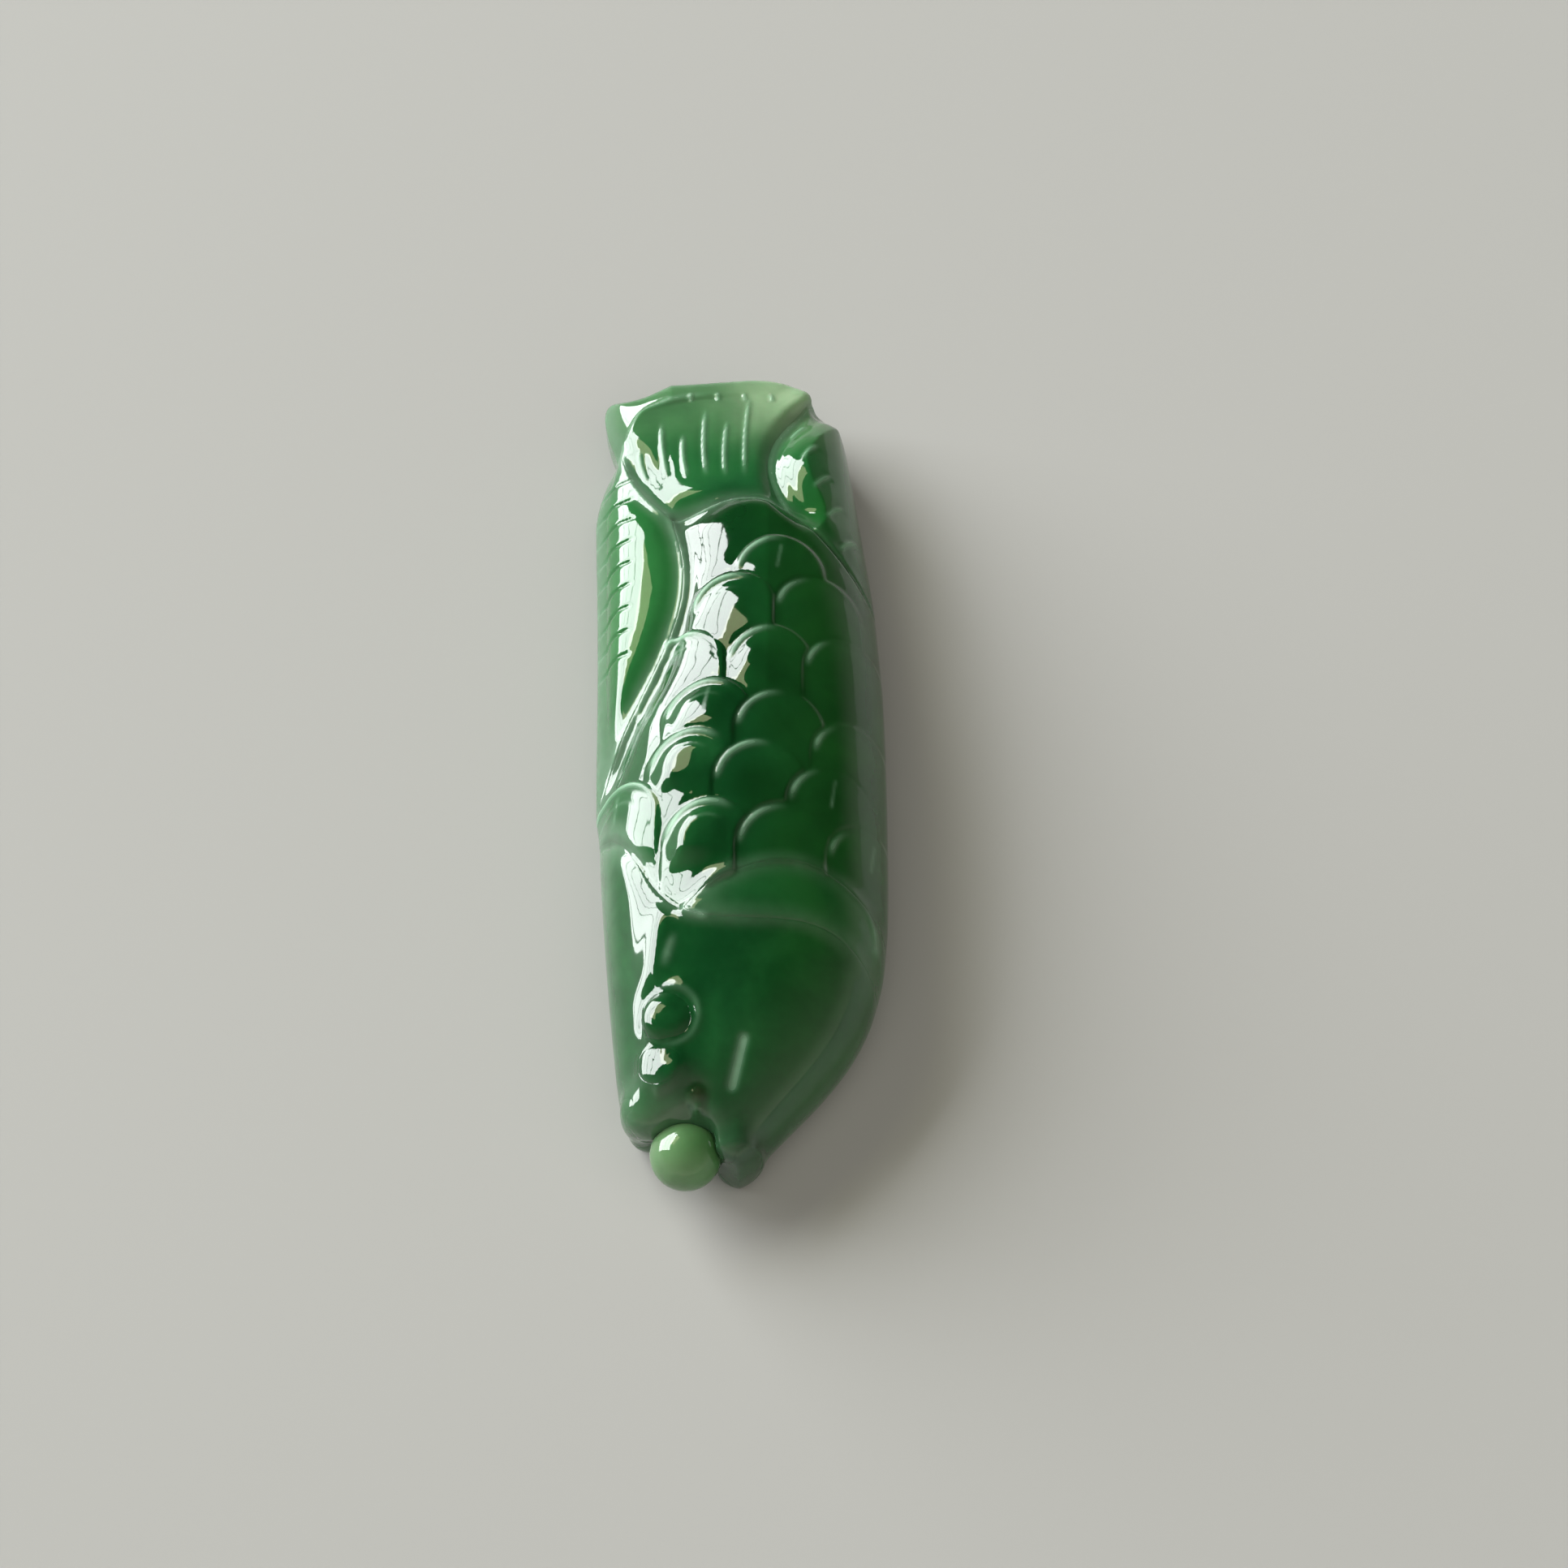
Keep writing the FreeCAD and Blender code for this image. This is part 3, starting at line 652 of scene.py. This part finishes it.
def stone_material(name, stops):
    """Polished jade: a cloudy green, painted brighter where the window's light would shine through the stone,
    with a painted sheen along its thin edge and painted shade in the drilled pit, frosted in the wheel's
    lines.
    """
    material = bpy.data.materials.new(name)
    material.use_nodes = True
    tree = material.node_tree
    shader = tree.nodes["Principled BSDF"]

    def node(kind, **values):
        new = tree.nodes.new(kind)
        for key, value in values.items():
            setattr(new, key, value)
        return new

    def feed(socket, value):
        if isinstance(value, bpy.types.NodeSocket):
            tree.links.new(value, socket)
        else:
            socket.default_value = value

    def maths(operation, a, b, clamp=False):
        new = node("ShaderNodeMath", operation=operation, use_clamp=clamp)
        feed(new.inputs[0], a)
        feed(new.inputs[1], b)
        return new.outputs[0]

    def noise(scale, detail, distortion=0.0):
        new = node("ShaderNodeTexNoise")
        new.inputs["Scale"].default_value = scale
        new.inputs["Detail"].default_value = detail
        new.inputs["Distortion"].default_value = distortion
        tree.links.new(place.outputs["Object"], new.inputs["Vector"])
        return new.outputs["Fac"]

    def mix(factor, a, b):
        new = node("ShaderNodeMix", data_type="RGBA")
        for socket, value in zip((new.inputs[0], new.inputs[6], new.inputs[7]), (factor, a, b)):
            feed(socket, value)
        return new.outputs[2]

    def plan_map(which):
        return node("ShaderNodeAttribute", attribute_name=which).outputs["Fac"]

    def swing(value, amount):
        return maths("MULTIPLY", maths("SUBTRACT", value, 0.5), amount)

    place = node("ShaderNodeTexCoord")
    cloud = noise(230.0, 4.0, 0.8)
    mottle = noise(700.0, 3.0, 0.4)
    fleck = noise(2600.0, 2.0)
    level = maths("ADD", plan_map("tone_and_painted_glow"), swing(cloud, 0.5))
    level = maths("ADD", level, swing(mottle, 0.22))
    level = maths("ADD", level, swing(fleck, 0.1), True)
    ramp = node("ShaderNodeValToRGB")
    while len(ramp.color_ramp.elements) < len(stops):
        ramp.color_ramp.elements.new(0.5)
    for element, (at, colour) in zip(ramp.color_ramp.elements, stops):
        element.position = at
        element.color = (*colour, 1)
    tree.links.new(level, ramp.inputs[0])
    colour = mix(maths("MULTIPLY", plan_map("olive"), maths("ADD", cloud, 0.1), True), ramp.outputs[0], OLIVE)
    colour = mix(maths("MULTIPLY", plan_map("pale"), maths("MULTIPLY", cloud, 1.8), True), colour, MILKY)
    # Painted sheen along the thin edge.
    colour = mix(maths("MULTIPLY", plan_map("painted_rim_sheen"), maths("ADD", mottle, 0.35), True), colour, PAINTED_RIM_SHEEN)
    colour = mix(maths("MULTIPLY", plan_map("frost"), maths("ADD", mottle, 0.15), True), colour, FROST)
    # Painted shade in the drilled pit.
    colour = mix(plan_map("pit"), colour, PAINTED_PIT_SHADE)
    tree.links.new(colour, shader.inputs["Base Color"])
    rough = maths("ADD", maths("MULTIPLY", plan_map("frost"), 0.5), maths("MULTIPLY", fleck, 0.04))
    tree.links.new(maths("ADD", rough, 0.02, True), shader.inputs["Roughness"])
    shader.inputs["IOR"].default_value = 1.62
    shader.inputs["Subsurface Weight"].default_value = 0.4
    shader.inputs["Subsurface Radius"].default_value = (0.4, 1.0, 0.6)
    shader.inputs["Subsurface Scale"].default_value = 0.001
    bump = node("ShaderNodeBump")
    bump.inputs["Strength"].default_value = 0.05
    bump.inputs["Distance"].default_value = 0.0001
    tree.links.new(mottle, bump.inputs["Height"])
    tree.links.new(bump.outputs[0], shader.inputs["Normal"])
    return material


GREENS = [
    (0.0, (0.0010, 0.020, 0.0045)),
    (0.3, (0.0028, 0.038, 0.0100)),
    (0.6, (0.0110, 0.085, 0.0240)),
    (1.0, (0.0250, 0.150, 0.0400)),
]
YELLOWS = [
    (0.0, (0.016, 0.070, 0.016)),
    (0.5, (0.040, 0.125, 0.036)),
    (1.0, (0.075, 0.210, 0.065)),
]
OLIVE = (0.013, 0.092, 0.014, 1)
MILKY = (0.360, 0.500, 0.310, 1)
# The colour of the painted edge sheen.
PAINTED_RIM_SHEEN = (0.115, 0.200, 0.130, 1)
FROST = (0.190, 0.350, 0.230, 1)
# The dark brown of the painted shade in the pit.
PAINTED_PIT_SHADE = (0.020, 0.022, 0.010, 1)
jade = stone_material("jade", GREENS)
pale_jade = stone_material("pale_jade", YELLOWS)
maps = plan_maps()


def dress(name):
    """A finished piece that stands for one CAD node."""
    mesh = mesh_of(PIECES[name], name + "_carved")
    piece = bpy.data.objects.new(name + "_carved", mesh)
    bpy.context.scene.collection.objects.link(piece)
    mesh.materials.append(pale_jade if name == "pearl" else jade)
    points = np.empty(len(mesh.vertices) * 3, np.float32)
    mesh.vertices.foreach_get("co", points)
    points = points.reshape(-1, 3) / MM
    values = {which: sample(plan, points) for which, plan in maps.items()}
    if name == "pearl":
        # Painted light on the pearl: a brighter, glowing green towards its right, where the window's light
        # would come out through it, and paler towards its left, the lit side.
        across = (points[:, 0] - points[:, 0].min()) / np.ptp(points[:, 0])
        values = dict(tone_and_painted_glow=0.4 + 0.4 * across, pale=0.22 * (1 - across))
    for which, value in values.items():
        layer = mesh.attributes.new(which, "FLOAT", "POINT")
        layer.data.foreach_set("value", value.astype(np.float32))
    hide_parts(name)
    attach(piece, "root")


for name in PIECES:
    dress(name)

# ---------------------------------------------------------------- floor, light and camera
FLOOR_HALF = 2.0  # m
FLOOR_GREY = (0.39, 0.385, 0.38, 1)


def lay_floor():
    mesh = bpy.data.meshes.new("floor")
    corners = [(x * FLOOR_HALF, y * FLOOR_HALF, 0) for x, y in ((-1, -1), (1, -1), (1, 1), (-1, 1))]
    mesh.from_pydata(corners, [], [(0, 1, 2, 3)])
    floor = bpy.data.objects.new("floor", mesh)
    bpy.context.scene.collection.objects.link(floor)
    plain = bpy.data.materials.new("floor")
    plain.use_nodes = True
    shader = plain.node_tree.nodes["Principled BSDF"]
    shader.inputs["Base Color"].default_value = FLOOR_GREY
    shader.inputs["Roughness"].default_value = 0.9
    mesh.materials.append(plain)


lay_floor()


def softbox(name, direction, size, radiance, colour, mirrored=True):
    """A glowing rectangle that faces the stone. Its size is in metres for each metre of distance."""
    data = bpy.data.lights.new(name, "AREA")
    data.shape = "RECTANGLE"
    data.size, data.size_y = size[0] * FAR, size[1] * FAR
    data.energy = radiance * math.pi * data.size * data.size_y
    data.color = colour
    light = bpy.data.objects.new(name, data)
    bpy.context.scene.collection.objects.link(light)
    toward = Vector(direction).normalized()
    light.location = toward * FAR
    light.rotation_mode = "QUATERNION"
    light.rotation_quaternion = toward.to_track_quat("Z", "Y")
    light.visible_camera = False
    light.visible_glossy = mirrored


FAR = 1.5  # m from the stone to the lights
PANES = 5  # of the window, one above the other with thin bars between them
PANE = (0.93, 0.173)
LOWEST_PANE = -3.0  # degrees above the horizon
PANE_STEP = 10.5  # degrees from one pane to the next
for i in range(PANES):
    tilt = math.radians(LOWEST_PANE + PANE_STEP * i)
    direction = (-0.845 * math.cos(tilt), 0.535 * math.cos(tilt), math.sin(tilt))
    softbox(f"window_{i}", direction, PANE, radiance=12.0, colour=(0.97, 1.0, 1.0))
softbox("curtain", (-0.50, 0.46, 0.735), (0.5, 0.22), radiance=3.4, colour=(0.85, 0.85, 0.5))
softbox("fill", (0.2, -0.35, 0.9), (1.5, 1.5), radiance=0.8, colour=(1.0, 0.96, 0.86), mirrored=False)

BRIGHT_SIDE = (0.1, -0.85, -0.5)  # where the room is brightest
ROOM = ((0.25, (0.012, 0.014, 0.012, 1)), (0.9, (0.6, 0.58, 0.48, 1)))  # its dark and its bright side
HAZE = (0.24, 0.26, 0.21, 1)  # added near the horizon
HAZE_TOP = 0.45  # the direction's height at which the haze has gone


def room():
    """A dark room with one bright side and a pale haze near the horizon, which the stone reflects."""
    world = bpy.data.worlds.new("room")
    bpy.context.scene.world = world
    world.use_nodes = True
    sky = world.node_tree
    view = sky.nodes.new("ShaderNodeTexCoord")
    facing = sky.nodes.new("ShaderNodeVectorMath")
    facing.operation = "DOT_PRODUCT"
    facing.inputs[1].default_value = BRIGHT_SIDE
    half = sky.nodes.new("ShaderNodeMath")
    half.operation = "MULTIPLY_ADD"
    half.inputs[1].default_value = 0.5
    half.inputs[2].default_value = 0.5
    ramp = sky.nodes.new("ShaderNodeValToRGB")
    for element, (at, colour) in zip(ramp.color_ramp.elements, ROOM):
        element.position = at
        element.color = colour
    sky.links.new(view.outputs["Generated"], facing.inputs[0])
    sky.links.new(facing.outputs["Value"], half.inputs[0])
    sky.links.new(half.outputs[0], ramp.inputs[0])
    height = sky.nodes.new("ShaderNodeSeparateXYZ")
    sky.links.new(view.outputs["Generated"], height.inputs[0])
    low = sky.nodes.new("ShaderNodeMapRange")
    low.interpolation_type = "SMOOTHSTEP"
    for socket, value in zip(low.inputs[1:5], (0.0, HAZE_TOP, 1.0, 0.0)):
        socket.default_value = value
    sky.links.new(height.outputs["Z"], low.inputs[0])
    haze = sky.nodes.new("ShaderNodeMix")
    haze.data_type = "RGBA"
    haze.blend_type = "ADD"
    haze.inputs[7].default_value = HAZE
    sky.links.new(low.outputs[0], haze.inputs[0])
    sky.links.new(ramp.outputs[0], haze.inputs[6])
    sky.links.new(haze.outputs[2], sky.nodes["Background"].inputs["Color"])


ELEVATION = math.radians(60)  # of the camera above the floor
DISTANCE = 0.127  # m from the camera to the point that it looks at
AIM = Vector((1.90, -1.4, 3.0)) * MM


def look():
    """The camera, in front of the head and above it."""
    data = bpy.data.cameras.new("camera")
    data.lens = 70
    data.sensor_width = 36
    data.clip_start = 0.01
    camera = bpy.data.objects.new("camera", data)
    bpy.context.scene.collection.objects.link(camera)
    bpy.context.scene.camera = camera
    toward_camera = Vector((0, -math.cos(ELEVATION), math.sin(ELEVATION)))
    camera.location = AIM + toward_camera * DISTANCE
    camera.rotation_mode = "QUATERNION"
    camera.rotation_quaternion = toward_camera.to_track_quat("Z", "Y")


room()
look()
bpy.context.scene.view_settings.view_transform = "Standard"
